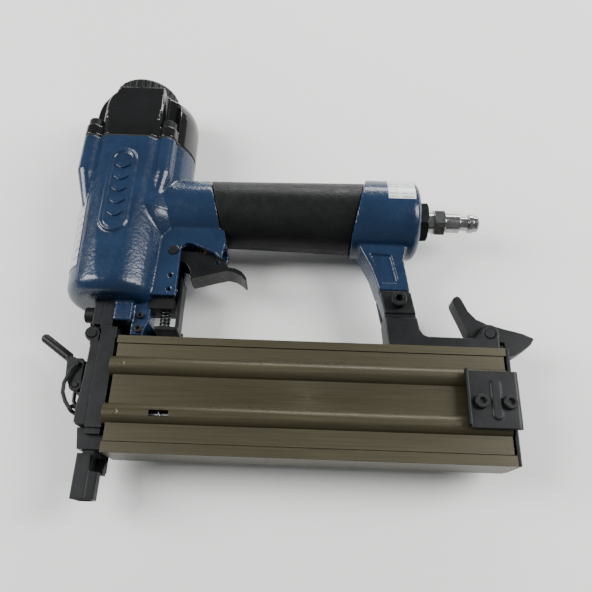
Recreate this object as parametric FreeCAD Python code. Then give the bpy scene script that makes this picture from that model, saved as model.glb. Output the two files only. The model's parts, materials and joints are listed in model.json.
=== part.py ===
"""Pneumatic brad nailer, modelled piece by piece and written as one STEP file per piece.

Working frame: the driver blade runs down the Y axis (X = Z = 0) and the shoe's lower face is at
Y = 0.  +X points along the handle and magazine, +Z out of the tool's side.  Every piece is moved
at export so that the origin is the middle of the tool's box, on the side that it lies on.
"""
import FreeCAD, Part
import math
import os

V = FreeCAD.Vector

# ---------------------------------------------------------------- driving dimensions (mm)
# clearances
RUN = 0.05            # radial clearance of a running or sliding round fit
GAP = 0.30            # clearance between flat or unfitted moving faces

# motor: barrel, cylinder, piston
BORE_R = 15.0
SLEEVE_WALL = 2.0
AIR_SPACE = 4.5               # between the sleeve and the barrel
BARREL_WALL = 4.1
BARREL_SIDE_WALL = 3.8        # the two sides of the barrel are flat
BARREL_TAPER = 2.5
BARREL_BOTTOM_Y = 101.5
BARREL_CORNER_R = 8.0
BARREL_FLOOR = 5.0
BOSS_R = 5.2
BOSS_H = 23.5
BOSS_TAIL_H = 26.0            # tapered run-out below each screw boss
BOSS_TAIL_R = 3.0
BULGE_X = 12.0                # axis of the rear bulge over the air passage
BULGE_STEP = 4.8
BULGE_TAIL_H = 22.0
STROKE = 70.0
PISTON_H = 8.0
PISTON_BOSS_R = 5.0
PISTON_BOSS_H = 4.0
BUMPER_H = 12.0
BUMPER_HOLE_R = 3.2
PISTON_RING_R = 1.2
SEAL_R = 0.8
HEAD_CLEAR = 2.0              # from the top of the sleeve to the cap joint
GASKET_T = 0.8

# cylinder cap and exhaust
CAP_PAD_H = 8.0
CAP_SHOULDER_H = 14.0
CAP_H = 40.0
CAP_SIDE_LEAN = 3.9
CAP_PANEL_X = 16.0            # half width of the flat side panels at the shoulder, and at the front top
CAP_PANEL_TOP_X = 11.5
DOME_DROP = 6.6
DOME_DROP_REAR = 12.3
HEAD_FLANGE = 3.5             # head valve radius beyond the bore
HEAD_CHAMBER_H = 26.0
DEFLECTOR_R = 20.1
DEFLECTOR_H = 8.8
DEFLECTOR_LUG_ANGLE = 183.0
DEFLECTOR_TEETH = 30
CAP_SCREW_R = 2.5
SCREW_HEAD_R = 4.25
SCREW_HEAD_H = 5.0

# nose and driver
BLADE_T = 1.3
BLADE_W = 3.0
SHOE_TRAVEL = 8.0
NOSE_SPLIT_X = -0.9
NOSE_REAR_X = 7.2
NOSE_HALF_Z = 10.4
NOSE_LOW_Y = 33.5
NOSE_NECK_Y = 23.5
NOSE_TOP_Y = 86.3
TONGUE_HALF_Z = 9.5
TONGUE_REAR_X = 3.8
HINGE_PLATE_X = -2.0
HINGE_PLATE_T = 5.0
HINGE_X = -5.4
HINGE_Y = 82.4
HINGE_PIN_R = 2.4
KNUCKLE_R = 4.0
NOSE_SCREW_Y = 94.1
NOSE_SCREW_Z = 5.4
NECK_SCREWS = ((17.6, 94.2), (17.6, 86.6))

# contact shoe and safety linkage
SHOE_X0 = -3.6
SHOE_X1 = 6.8
SHOE_HALF_Z = 6.8
SHOE_T = 1.2
SHOE_CLOSED_H = 13.4
SHOE_H = 21.4
LINK_Z0 = 10.8
LINK_Z1 = 12.2
LINK_TOP_Y = 93.0
SPRING_X = 29.6

# magazine
MAG_X0 = 9.0
MAG_LEN = 201.8
MAG_Y0 = 21.2
MAG_Y1 = 81.1
MAG_HALF_Z = 12.5
MAG_LIP_TOP = 4.2
MAG_LIP_LOW = 5.2
NAIL_GAP = 2.4                # width of the nail track
RIB_R = 5.3
RIB_Z = 10.0
RIB_BORE_R = 4.2
RIB_LOW_Y = 40.4
RIB_HIGH_Y = 64.8
PUSHER_LEN = 16.0
ROD_R = 1.6
END_PLATE_T = 1.9
COVER_Y0 = 38.1
COVER_Y1 = 67.2
COVER_LEN = 26.1
COVER_FRONT_Z = 17.3
COVER_T = 1.4
COVER_SCREW_DX = (4.7, 18.8)  # from the end plate's outer face

# handle, leg and grip
HANDLE_Y = 163.2
HANDLE_CORE_R = 16.8
HANDLE_AIR_R = 13.0
ROOT_R = 19.6
GRIP_R_FRONT = 19.4
GRIP_R_REAR = 21.6
HANDLE_END_R = 23.4
HANDLE_END_X = 170.2
HANDLE_END_LEN = 33.0
LEG_HALF_Z = 9.0
FORK_T = 3.2
CHEEK_HALF_Z = 11.4
CHEEK_SLOT_Z = 7.8
LEG_SCREW_Y = 107.1
GRIP_SLANT_FRONT = 0.26
GRIP_SLANT_REAR = 0.214
INLET_R = 9.0
INLET_BORE_R = 6.0
PLUG_R = 5.7

# trigger
TRIG_X = 31.7
TRIG_Y = 132.7
TRIG_PIN_R = 2.6
TRIG_HALF_Z = 7.2
TRIG_T = 1.6
VALVE_X = 45.8
VALVE_R = 5.5
VALVE_SEAL_R = 0.6

# catch at the rear of the magazine
CATCH_BACK = 5.9              # catch pin ahead of the rail's rear end
CATCH_H = 9.4                 # catch pin above the rail
CATCH_PIN_R = 2.6
CATCH_EAR_R = 5.2
CATCH_HALF_Z = 5.0
BRACKET_H = 6.2
RAIL_SCREW_X = 176.0
RAIL_SCREW_Y = 84.6

# door latch
LATCH_X = -10.6
LATCH_Y = 55.4
LATCH_PIN_R = 1.4
LATCH_GRIP_R = 2.5
BAIL_TOP = (-10.7, 66.5)
BAIL_LOW = (-9.6, 41.4)
BAIL_WIRE_R = 1.0
BAIL_ARM_Z = 8.6

# ---------------------------------------------------------------- worked out from the above
SLEEVE_R = BORE_R + SLEEVE_WALL
HEAD_BORE_R = BORE_R + HEAD_FLANGE
BARREL_CAVITY_R = SLEEVE_R + AIR_SPACE
BARREL_R_LOW = BARREL_CAVITY_R + BARREL_WALL
BARREL_R_TOP = BARREL_R_LOW + BARREL_TAPER
BARREL_FLAT_Z = BARREL_CAVITY_R + BARREL_SIDE_WALL
BULGE_R = BARREL_R_TOP - BULGE_STEP
BOSS_X = BARREL_R_TOP - BOSS_R - 1.1
BOSS_Z = BARREL_FLAT_Z - BOSS_R - GAP
CYL_BOTTOM_Y = BARREL_BOTTOM_Y + BARREL_FLOOR
BUMPER_TOP_Y = CYL_BOTTOM_Y + BUMPER_H
PISTON_Y = BUMPER_TOP_Y + STROKE                     # underside of the raised piston
SLEEVE_TOP_Y = PISTON_Y + PISTON_H + 1.5
SEAM_Y = SLEEVE_TOP_Y + HEAD_CLEAR
BOSS_BOTTOM_Y = SEAM_Y - BOSS_H
CAP_Y = SEAM_Y + GASKET_T
CAP_PAD_Y = SEAM_Y + CAP_PAD_H
CAP_SHOULDER_Y = SEAM_Y + CAP_SHOULDER_H
CAP_TOP_Y = SEAM_Y + CAP_H
HEAD_CHAMBER_TOP_Y = SEAM_Y + HEAD_CHAMBER_H
BLADE_TIP_Y = SHOE_TRAVEL + STROKE
MAG_X1 = MAG_X0 + MAG_LEN
END_PLATE_X = MAG_X1 + 0.2
MAG_MID_Y = (MAG_Y0 + MAG_Y1) / 2
TRACK_Y0 = MAG_Y0 + MAG_LIP_LOW
TRACK_Y1 = MAG_Y1 - MAG_LIP_TOP
END_X = END_PLATE_X + END_PLATE_T                    # outer face of the end plate
COVER_SCREW_X = [END_X - d for d in COVER_SCREW_DX]
CATCH_X = MAG_X1 - CATCH_BACK
CATCH_Y = MAG_Y1 + CATCH_H
LEG_X = HANDLE_END_X - 13.8
BOSSES = [(sx * BOSS_X, sz * BOSS_Z) for sx in (-1, 1) for sz in (-1, 1)]
RIBS = (RIB_LOW_Y, RIB_HIGH_Y)

AXES = {"x": V(1, 0, 0), "y": V(0, 1, 0), "z": V(0, 0, 1)}
PARTS = {}


# ---------------------------------------------------------------- small builders
def box(x0, x1, y0, y1, z0, z1):
    return Part.makeBox(x1 - x0, y1 - y0, z1 - z0, V(x0, y0, z0))


def rod(x, y, z, axis, r, length):
    """Cylinder of radius r from (x, y, z) along +axis."""
    return Part.makeCylinder(r, length, V(x, y, z), AXES[axis])


def tube(x, y, z, axis, r_out, r_in, length):
    return rod(x, y, z, axis, r_out, length).cut(rod(x, y, z, axis, r_in, length))


def hexagon(x, y, z, axis, across_flats, length):
    r = across_flats / math.sqrt(3)
    ring = []
    for i in range(7):
        a = math.radians(60 * i)
        u, v = r * math.cos(a), r * math.sin(a)
        ring.append({"x": V(x, y + u, z + v), "y": V(x + v, y, z + u), "z": V(x + u, y + v, z)}[axis])
    return Part.Face(Part.makePolygon(ring)).extrude(AXES[axis] * length)


def prism(points, z0, z1):
    """Outline in X-Y, extruded from z0 to z1."""
    ring = [V(x, y, z0) for x, y in points]
    return Part.Face(Part.makePolygon(ring + ring[:1])).extrude(V(0, 0, z1 - z0))


def bar(points, x0, x1):
    """Outline in Y-Z, extruded from x0 to x1."""
    ring = [V(x0, y, z) for y, z in points]
    return Part.Face(Part.makePolygon(ring + ring[:1])).extrude(V(x1 - x0, 0, 0))


def both_sides(points, z0, z1):
    """The same plate on each side of the mid plane."""
    return fuse(prism(points, z0, z1), prism(points, -z1, -z0))


def fuse(first, *others):
    return first.multiFuse(list(others)).removeSplitter() if others else first


def cut(shape, *tools):
    return shape.cut(Part.makeCompound(list(tools))) if len(tools) == 1 else shape.cut(list(tools))


def turned(points, axis="y", at=(0, 0, 0)):
    """Solid of revolution from (radius, height) points about an axis through at."""
    ring = [V(r, h, 0) for r, h in points]
    face = Part.Face(Part.makePolygon(ring + ring[:1]))
    solid = face.revolve(V(0, 0, 0), V(0, 1, 0), 360)
    if axis == "x":
        solid.rotate(V(0, 0, 0), V(0, 0, 1), -90)
    solid.translate(V(*at))
    return solid


def stadium(x, y0, y1, half_w, z0, z1):
    """Upright slot shape with round ends, centred on x."""
    return fuse(box(x - half_w, x + half_w, y0 + half_w, y1 - half_w, z0, z1),
                rod(x, y0 + half_w, z0, "z", half_w, z1 - z0),
                rod(x, y1 - half_w, z0, "z", half_w, z1 - z0))


def o_ring(y, r_out, r_wire, x=0.0):
    """Round-section ring about the Y axis through (x, 0), of outer radius r_out."""
    return Part.makeTorus(r_out - r_wire, r_wire, V(x, y, 0), V(0, 1, 0))


def groove(y, r_out, r_wire, x=0.0):
    """Square groove that an o_ring of the same sizes sits in."""
    return tube(x, y - r_wire, 0, "y", r_out + 1, r_out - 2 * r_wire, 2 * r_wire)


def coil(at, axis, r_mid, r_wire, length, turns):
    """Round-wire compression spring of closed length, starting at `at` along +axis."""
    pitch = (length - 2 * r_wire) / turns
    helix = Part.makeHelix(pitch, length - 2 * r_wire, r_mid)
    section = Part.Wire(Part.makeCircle(r_wire, V(r_mid, 0, 0), V(0, 1, 0)))
    spring = Part.Wire(helix).makePipeShell([section], True, True)
    spring.translate(V(0, 0, r_wire))
    if axis == "y":
        spring.rotate(V(0, 0, 0), V(1, 0, 0), -90)
    if axis == "x":
        spring.rotate(V(0, 0, 0), V(0, 1, 0), 90)
    spring.translate(V(*at))
    return spring


def wire_form(points, r, bend):
    """Round wire along straight runs joined by bends of the given radius."""
    pts = [V(*p) for p in points]
    edges = []
    start = pts[0]
    for i in range(1, len(pts) - 1):
        a, b, c = pts[i - 1], pts[i], pts[i + 1]
        u = (a - b).normalize()
        w = (c - b).normalize()
        half = u.getAngle(w) / 2
        back = bend / math.tan(half)
        p_in, p_out = b + u * back, b + w * back
        mid_dir = (u + w).normalize()
        centre = b + mid_dir * (bend / math.sin(half))
        edges.append(Part.LineSegment(start, p_in).toShape())
        edges.append(Part.Arc(p_in, centre - mid_dir * bend, p_out).toShape())
        start = p_out
    edges.append(Part.LineSegment(start, pts[-1]).toShape())
    path = Part.Wire(edges)
    circle = Part.makeCircle(r, pts[0], (pts[1] - pts[0]).normalize())
    return path.makePipeShell([Part.Wire(circle)], True, False)


def socket_screw(x, y, z, axis, sign, head_r, head_h, shank_r, length):
    """Socket-head cap screw; (x, y, z) is under the head and the shank runs along sign * axis."""
    head = rod(0, 0, -head_h, "z", head_r, head_h)
    head = head.makeChamfer(0.4, [e for e in head.Edges if abs(e.CenterOfMass.z + head_h) < 1e-6])
    socket = hexagon(0, 0, -head_h, "z", head_r * 0.94, head_h * 0.6)
    screw = head.cut(socket).fuse(rod(0, 0, 0, "z", shank_r, length)).removeSplitter()
    turn = {("x", 1): (V(0, 1, 0), 90), ("x", -1): (V(0, 1, 0), -90),
            ("y", 1): (V(1, 0, 0), -90), ("y", -1): (V(1, 0, 0), 90),
            ("z", 1): (V(0, 1, 0), 0), ("z", -1): (V(0, 1, 0), 180)}[(axis, sign)]
    screw.rotate(V(0, 0, 0), turn[0], turn[1])
    screw.translate(V(x, y, z))
    return screw


def round_edges(shape, radius, pick):
    """Fillet the edges that pick() accepts."""
    edges = [e for e in shape.Edges if pick(e)]
    return shape.makeFillet(radius, edges) if edges else shape


def add(name, shape):
    PARTS[name] = shape


# ---------------------------------------------------------------- casting: barrel, handle, leg
def seam_section(y0, y1, shrink=0.0):
    """Block with the outline that the casting and the cap share at their joint."""
    core = rod(0, y0, 0, "y", BARREL_R_TOP - shrink, y1 - y0)
    bulge = rod(BULGE_X, y0, 0, "y", BULGE_R - shrink, y1 - y0)
    bosses = [rod(x, y0, z, "y", BOSS_R - shrink, y1 - y0) for x, z in BOSSES]
    slab = box(-60, 60, y0, y1, -BARREL_FLAT_Z + shrink, BARREL_FLAT_Z - shrink)
    return fuse(fuse(core, bulge).common(slab), *bosses)


def barrel_body():
    """Tapered barrel with a rounded lower corner and two flat sides."""
    corner = BARREL_R_LOW - BARREL_CORNER_R
    low, top = BARREL_BOTTOM_Y, BOSS_BOTTOM_Y
    edge = low + BARREL_CORNER_R
    mid = BARREL_CORNER_R * math.sqrt(0.5)
    outline = [Part.LineSegment(V(0, low, 0), V(corner, low, 0)).toShape(),
               Part.Arc(V(corner, low, 0), V(corner + mid, edge - mid, 0), V(BARREL_R_LOW, edge, 0)).toShape(),
               Part.LineSegment(V(BARREL_R_LOW, edge, 0), V(BARREL_R_TOP, top, 0)).toShape(),
               Part.LineSegment(V(BARREL_R_TOP, top, 0), V(0, top, 0)).toShape(),
               Part.LineSegment(V(0, top, 0), V(0, low, 0)).toShape()]
    body = Part.Face(Part.Wire(outline)).revolve(V(0, 0, 0), V(0, 1, 0), 360)
    body = body.common(box(-60, 60, low, top, -BARREL_FLAT_Z, BARREL_FLAT_Z))
    collar = seam_section(top, SEAM_Y)
    tails = [boss_tail(x, z) for x, z in BOSSES]
    rear = rod(BULGE_X, top - BULGE_TAIL_H, 0, "y", BULGE_R, BULGE_TAIL_H)
    return fuse(body, collar, rear.common(rear_taper(top)), *tails)


def boss_tail(x, z):
    """Cone that runs a screw boss out into the tapered barrel."""
    inward = 1 - 2 * BOSS_TAIL_R / math.hypot(x, z)
    ends = [(x, z, BOSS_BOTTOM_Y, BOSS_R), (x * inward, z * inward, BOSS_BOTTOM_Y - BOSS_TAIL_H, BOSS_TAIL_R)]
    rings = [Part.Wire(Part.makeCircle(r, V(u, y, w), AXES["y"])) for u, w, y, r in ends]
    return Part.makeLoft(rings, True)


def rear_taper(top):
    """Wedge that runs the rear bulge out into the handle."""
    low = top - BULGE_TAIL_H
    return prism([(0, low), (BULGE_X + BULGE_R - 8, low), (BULGE_X + BULGE_R, top), (0, top)],
                 -BARREL_FLAT_Z, BARREL_FLAT_Z)


def cheek_outline():
    """Side plates that carry the trigger, from the barrel to below the handle."""
    return [(20.0, 175.0), (27.0, 166.0), (24.6, 152.0), (23.0, 132.0), (21.2, 116.0), (16.2, 105.2),
            (35.8, 105.2), (35.8, 134.7), (38.0, 137.4), (41.5, 137.4), (46.2, 135.4), (54.9, 131.7),
            (58.6, 128.2), (60.5, 140.0), (56.0, 160.0), (50.0, 175.0)]


def leg_outline():
    return [(LEG_X + dx, y) for dx, y in (
        (-25.4, 150.0), (-19.9, 139.5), (-13.6, 126.2), (-9.8, 113.8), (-6.4, 100.4),
        (9.2, 100.4), (6.8, 114.6), (4.2, 132.5), (8.1, 150.0))]


def neck_block():
    """Web between the nose and the trigger cheeks."""
    return prism([(13.0, 83.5), (19.0, 83.5), (22.4, 92.0), (22.0, 108.0), (13.0, 108.0)], -6.5, 6.5)


def housing():
    barrel = barrel_body()
    root = rod(BARREL_R_LOW - 12, HANDLE_Y, 0, "x", ROOT_R, 46)
    root = root.common(prism([(0, 120), (62, 120), (grip_front_x(130), 130), (grip_front_x(200), 200), (0, 200)],
                             -30, 30))
    core = rod(40, HANDLE_Y, 0, "x", HANDLE_CORE_R, HANDLE_END_X - 46)
    end = rod(HANDLE_END_X - HANDLE_END_LEN - 6, HANDLE_Y, 0, "x", HANDLE_END_R, HANDLE_END_LEN + 6)
    end = round_edges(end, 5.0, lambda e: abs(e.CenterOfMass.x - HANDLE_END_X) < 0.1)
    end = end.common(prism([(grip_rear_x(110), 110), (200, 110), (200, 210), (grip_rear_x(210), 210)], -40, 40))
    cheeks = prism(cheek_outline(), -CHEEK_HALF_Z, CHEEK_HALF_Z)
    leg = prism(leg_outline(), -LEG_HALF_Z, LEG_HALF_Z)
    shoulder = box(2.6, 13.4, 90.4, 104, -NOSE_HALF_Z, NOSE_HALF_Z)
    badge = stadium(0, 135.7, 189.6, 7.4, BARREL_FLAT_Z - 5, BARREL_FLAT_Z + 1.2)
    badge = badge.cut(stadium(0, 137.4, 187.9, 5.7, BARREL_FLAT_Z + 0.3, BARREL_FLAT_Z + 3))
    body = fuse(barrel, root, core, end, cheeks, leg, shoulder, neck_block(), badge)

    hollow = [rod(0, CYL_BOTTOM_Y, 0, "y", SLEEVE_R + RUN, 12),
              rod(0, CYL_BOTTOM_Y + 10, 0, "y", BARREL_CAVITY_R, SEAM_Y),
              rod(22, HANDLE_Y, 0, "x", HANDLE_AIR_R, HANDLE_END_X - 22 - 16),
              rod(HANDLE_END_X - 18, HANDLE_Y, 0, "x", INLET_R, 30),
              rod(BULGE_X + 12.5, HANDLE_Y, 0, "y", 6.5, 60)]
    trigger_slot = prism([(26.6, 95), (90, 95), (90, 140.0), (56, 140.0), (40, 142.0), (26.6, 142.0)],
                         -CHEEK_SLOT_Z, CHEEK_SLOT_Z)
    valve_bore = [rod(VALVE_X, 130, 0, "y", VALVE_R, 30)]
    blade_slot = box(-BLADE_T, BLADE_T, 90, 110, -BLADE_W, BLADE_W)
    tongue_room = box(-20, TONGUE_REAR_X, 80, BARREL_BOTTOM_Y, -30, 30)
    pin_holes = [rod(TRIG_X, TRIG_Y, -20, "z", TRIG_PIN_R, 40),
                 rod(31.5, 117.1, -20, "z", 1.25, 40), rod(31.5, 108.7, -20, "z", 1.25, 40)]
    nose_holes = [rod(TONGUE_REAR_X - 1, NOSE_SCREW_Y, z, "x", 2.5, 9.2) for z in (-NOSE_SCREW_Z, NOSE_SCREW_Z)]
    cap_holes = [rod(x, SEAM_Y - 16, z, "y", CAP_SCREW_R, 20) for x, z in BOSSES]
    beside_leg = [(LEG_X - 16, 95), (LEG_X + 18, 95), (LEG_X + 18, 113.8), (LEG_X - 16, 113.8)]
    fork_room = [both_sides(beside_leg, LEG_HALF_Z - FORK_T, 20)]
    screw_hole = rod(LEG_X, LEG_SCREW_Y, -20, "z", 2.5, 40)
    panel = [(LEG_X - 14.8, 136.2), (LEG_X - 2.8, 135.8), (LEG_X + 0.8, 118.6), (LEG_X - 7.4, 117.9)]
    recess = both_sides(panel, LEG_HALF_Z - 1.6, LEG_HALF_Z + 5)
    neck_holes = [rod(x, y, 2, "z", 1.3, 10) for x, y in NECK_SCREWS]
    return cut(body, *hollow, trigger_slot, *valve_bore, blade_slot, tongue_room, *pin_holes, *nose_holes,
               *cap_holes, *fork_room, screw_hole, recess, *neck_holes, grip())


def grip_front_x(y):
    """X of the slanted joint between the casting and the front of the grip."""
    return 52.7 + (HANDLE_Y - y) * GRIP_SLANT_FRONT


def grip_rear_x(y):
    """X of the slanted joint at the rear of the grip."""
    return HANDLE_END_X - 35.0 - (HANDLE_Y - y) * GRIP_SLANT_REAR


def grip():
    rear = HANDLE_END_X - 20
    blank = turned([(0, 40), (GRIP_R_FRONT, 40), (GRIP_R_REAR, rear), (0, rear)], "x", (0, HANDLE_Y, 0))
    mask = prism([(grip_front_x(110) + GAP, 110), (grip_rear_x(110) - GAP, 110),
                  (grip_rear_x(210) - GAP, 210), (grip_front_x(210) + GAP, 210)], -40, 40)
    sleeve = blank.common(mask)
    return sleeve.cut(rod(30, HANDLE_Y, 0, "x", HANDLE_CORE_R, rear))


# ---------------------------------------------------------------- motor
def cylinder_sleeve():
    flange_y = SLEEVE_TOP_Y - 7
    body = fuse(rod(0, CYL_BOTTOM_Y, 0, "y", SLEEVE_R, SLEEVE_TOP_Y - CYL_BOTTOM_Y),
                rod(0, flange_y, 0, "y", BARREL_CAVITY_R, 5))
    body = body.cut(rod(0, CYL_BOTTOM_Y, 0, "y", BORE_R, 200))
    ports = [rod(0, BUMPER_TOP_Y + 5, 0, "z", 1.2, 30), rod(0, BUMPER_TOP_Y + 5, -30, "z", 1.2, 30),
             rod(0, BUMPER_TOP_Y + 5, 0, "x", 1.2, 30), rod(-30, BUMPER_TOP_Y + 5, 0, "x", 1.2, 30)]
    grooves = [groove(CYL_BOTTOM_Y + 4, SLEEVE_R, SEAL_R), groove(flange_y + 2.5, BARREL_CAVITY_R, SEAL_R)]
    return cut(body, *ports, *grooves)


def cylinder_seals():
    flange_y = SLEEVE_TOP_Y - 7
    return Part.makeCompound([o_ring(CYL_BOTTOM_Y + 4, SLEEVE_R, SEAL_R), o_ring(flange_y + 2.5, BARREL_CAVITY_R, SEAL_R)])


def bumper():
    """Rubber stop, hollowed for the piston's boss and the blade."""
    top = BUMPER_H - 0.6
    well_r = PISTON_BOSS_R + 0.6
    well_y = BUMPER_H - PISTON_BOSS_H - 3
    return turned([(BUMPER_HOLE_R, 0), (BORE_R - 0.4, 0), (BORE_R - 0.4, 5), (BORE_R - 2.2, top),
                   (well_r + 1, top), (well_r, well_y), (BUMPER_HOLE_R, well_y)], "y", (0, CYL_BOTTOM_Y, 0))


def piston_parts():
    groove_y = PISTON_Y + PISTON_H / 2
    body = rod(0, PISTON_Y, 0, "y", BORE_R - RUN, PISTON_H)
    body = fuse(body, rod(0, PISTON_Y - PISTON_BOSS_H, 0, "y", PISTON_BOSS_R, PISTON_BOSS_H))
    ring = o_ring(groove_y, BORE_R - RUN, PISTON_RING_R)
    blade = box(-BLADE_T / 2, BLADE_T / 2, BLADE_TIP_Y, PISTON_Y + 2, -BLADE_W / 2, BLADE_W / 2)
    add("piston", cut(body, groove(groove_y, BORE_R - RUN, PISTON_RING_R), blade))
    add("piston_ring", ring)
    add("driver_blade", blade)


def head_valve_parts():
    y0 = SLEEVE_TOP_Y + 0.1
    body = fuse(rod(0, y0 + 1.5, 0, "y", HEAD_BORE_R - RUN, 10), rod(0, y0 + 11, 0, "y", 9.0, 4))
    body = cut(body, rod(0, y0 + 4.5, 0, "y", 6.0, 20), groove(y0 + 7, HEAD_BORE_R - RUN, SEAL_R),
               tube(0, y0, 0, "y", BORE_R + 3, BORE_R - 4, 3))
    seat = tube(0, y0, 0, "y", BORE_R + 2.6, BORE_R - 3.6, 2.9)
    add("head_valve", body)
    add("head_valve_seat", seat)
    add("head_valve_seal", o_ring(y0 + 7, HEAD_BORE_R - RUN, SEAL_R))
    spring_y = y0 + 11.5
    add("head_valve_spring", coil((0, spring_y, 0), "y", 12.0, 0.8, HEAD_CHAMBER_TOP_Y - spring_y, 4.25))


def cap_gasket():
    plate = seam_section(SEAM_Y, CAP_Y, 0.4)
    holes = [rod(x, SEAM_Y - 1, z, "y", CAP_SCREW_R + 0.3, 3) for x, z in BOSSES]
    return cut(plate, rod(0, SEAM_Y - 1, 0, "y", BARREL_CAVITY_R, 3), *holes)


def dome_profile(r, drop, steps=7):
    """Outline of the cap: straight to the shoulder, then ever faster inward to the flat top."""
    curve = [(r - drop * (i / steps) ** 4, CAP_SHOULDER_Y + (CAP_TOP_Y - CAP_SHOULDER_Y) * i / steps)
             for i in range(steps + 1)]
    return [(0, CAP_Y), (r, CAP_Y)] + curve + [(0, CAP_TOP_Y)]


def cylinder_cap():
    front = turned(dome_profile(BARREL_R_TOP, DOME_DROP))
    rear = turned(dome_profile(BULGE_R, DOME_DROP_REAR), "y", (BULGE_X, 0, 0))
    lean_y, top_z = CAP_PAD_Y - 1, BARREL_FLAT_Z - CAP_SIDE_LEAN
    slab = bar([(CAP_Y, -BARREL_FLAT_Z), (lean_y, -BARREL_FLAT_Z), (CAP_TOP_Y, -top_z),
                (CAP_TOP_Y, top_z), (lean_y, BARREL_FLAT_Z), (CAP_Y, BARREL_FLAT_Z)], -60, 60)
    panel = prism([(-CAP_PANEL_X, CAP_SHOULDER_Y), (-CAP_PANEL_TOP_X, CAP_TOP_Y), (CAP_PANEL_X, CAP_TOP_Y),
                   (CAP_PANEL_X, CAP_SHOULDER_Y)], -BARREL_FLAT_Z, BARREL_FLAT_Z)
    dome = fuse(front, rear, panel).common(slab)
    access = [rod(x, CAP_PAD_Y, z, "y", BOSS_R, 60) for x, z in BOSSES]
    access += [box(x - 6.5, x, CAP_PAD_Y, CAP_TOP_Y, z - 3, z + 3) for x, z in BOSSES if x < 0]
    dome = dome.cut(access)
    pads = [rod(x, CAP_Y, z, "y", BOSS_R, CAP_PAD_Y - CAP_Y) for x, z in BOSSES]
    body = fuse(dome, *pads)
    holes = [rod(x, CAP_Y - 1, z, "y", CAP_SCREW_R + 0.15, 20) for x, z in BOSSES]
    chamber = rod(0, CAP_Y - 1, 0, "y", HEAD_BORE_R, HEAD_CHAMBER_TOP_Y - CAP_Y + 1)
    exhaust = rod(0, HEAD_CHAMBER_TOP_Y - 1, 0, "y", 4.0, 30)
    passage = rod(BULGE_X + 12.5, CAP_Y - 1, 0, "y", 4.5, 18)
    return cut(body, *holes, chamber, exhaust, passage)


def cap_screws():
    return Part.makeCompound([socket_screw(x, CAP_PAD_Y, z, "y", -1, SCREW_HEAD_R, SCREW_HEAD_H, CAP_SCREW_R,
                                           CAP_PAD_Y - SEAM_Y + 15) for x, z in BOSSES])


def exhaust_parts():
    y0 = CAP_TOP_Y + GAP
    disc = turned([(0, 0), (DEFLECTOR_R - 0.8, 0), (DEFLECTOR_R, 0.8), (DEFLECTOR_R, DEFLECTOR_H - 2.0),
                   (DEFLECTOR_R - 1.6, DEFLECTOR_H), (0, DEFLECTOR_H)], "y", (0, y0, 0))
    teeth = []
    for i in range(DEFLECTOR_TEETH):
        notch = box(DEFLECTOR_R - 0.7, DEFLECTOR_R + 2, y0 + 1.6, y0 + DEFLECTOR_H + 1, -0.85, 0.85)
        notch.rotate(V(0, 0, 0), V(0, 1, 0), 360.0 * i / DEFLECTOR_TEETH)
        teeth.append(notch)
    lug = box(DEFLECTOR_R - 5.6, DEFLECTOR_R + 2.5, y0, y0 + DEFLECTOR_H, -2.6, 2.6)
    lug.rotate(V(0, 0, 0), V(0, 1, 0), DEFLECTOR_LUG_ANGLE)
    recess = rod(0, y0 + DEFLECTOR_H - 3.4, 0, "y", 5.2, 10)
    slots = [box(7.0, DEFLECTOR_R - 4, y0 + DEFLECTOR_H - 1.2, y0 + 20, -1.0, 1.0) for _ in range(8)]
    for i, slot in enumerate(slots):
        slot.rotate(V(0, 0, 0), V(0, 1, 0), 45.0 * i + 22.5)
    body = cut(disc, *teeth).fuse(lug).removeSplitter()
    body = cut(body, recess, rod(0, y0 - 1, 0, "y", 2.1 + RUN, 20), *slots)
    add("exhaust_deflector", body)
    screw = socket_screw(0, y0 + DEFLECTOR_H - 3.4, 0, "y", -1, 3.5, 3.0, 2.1, 3.8 + GAP)
    add("deflector_screw", screw)


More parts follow.
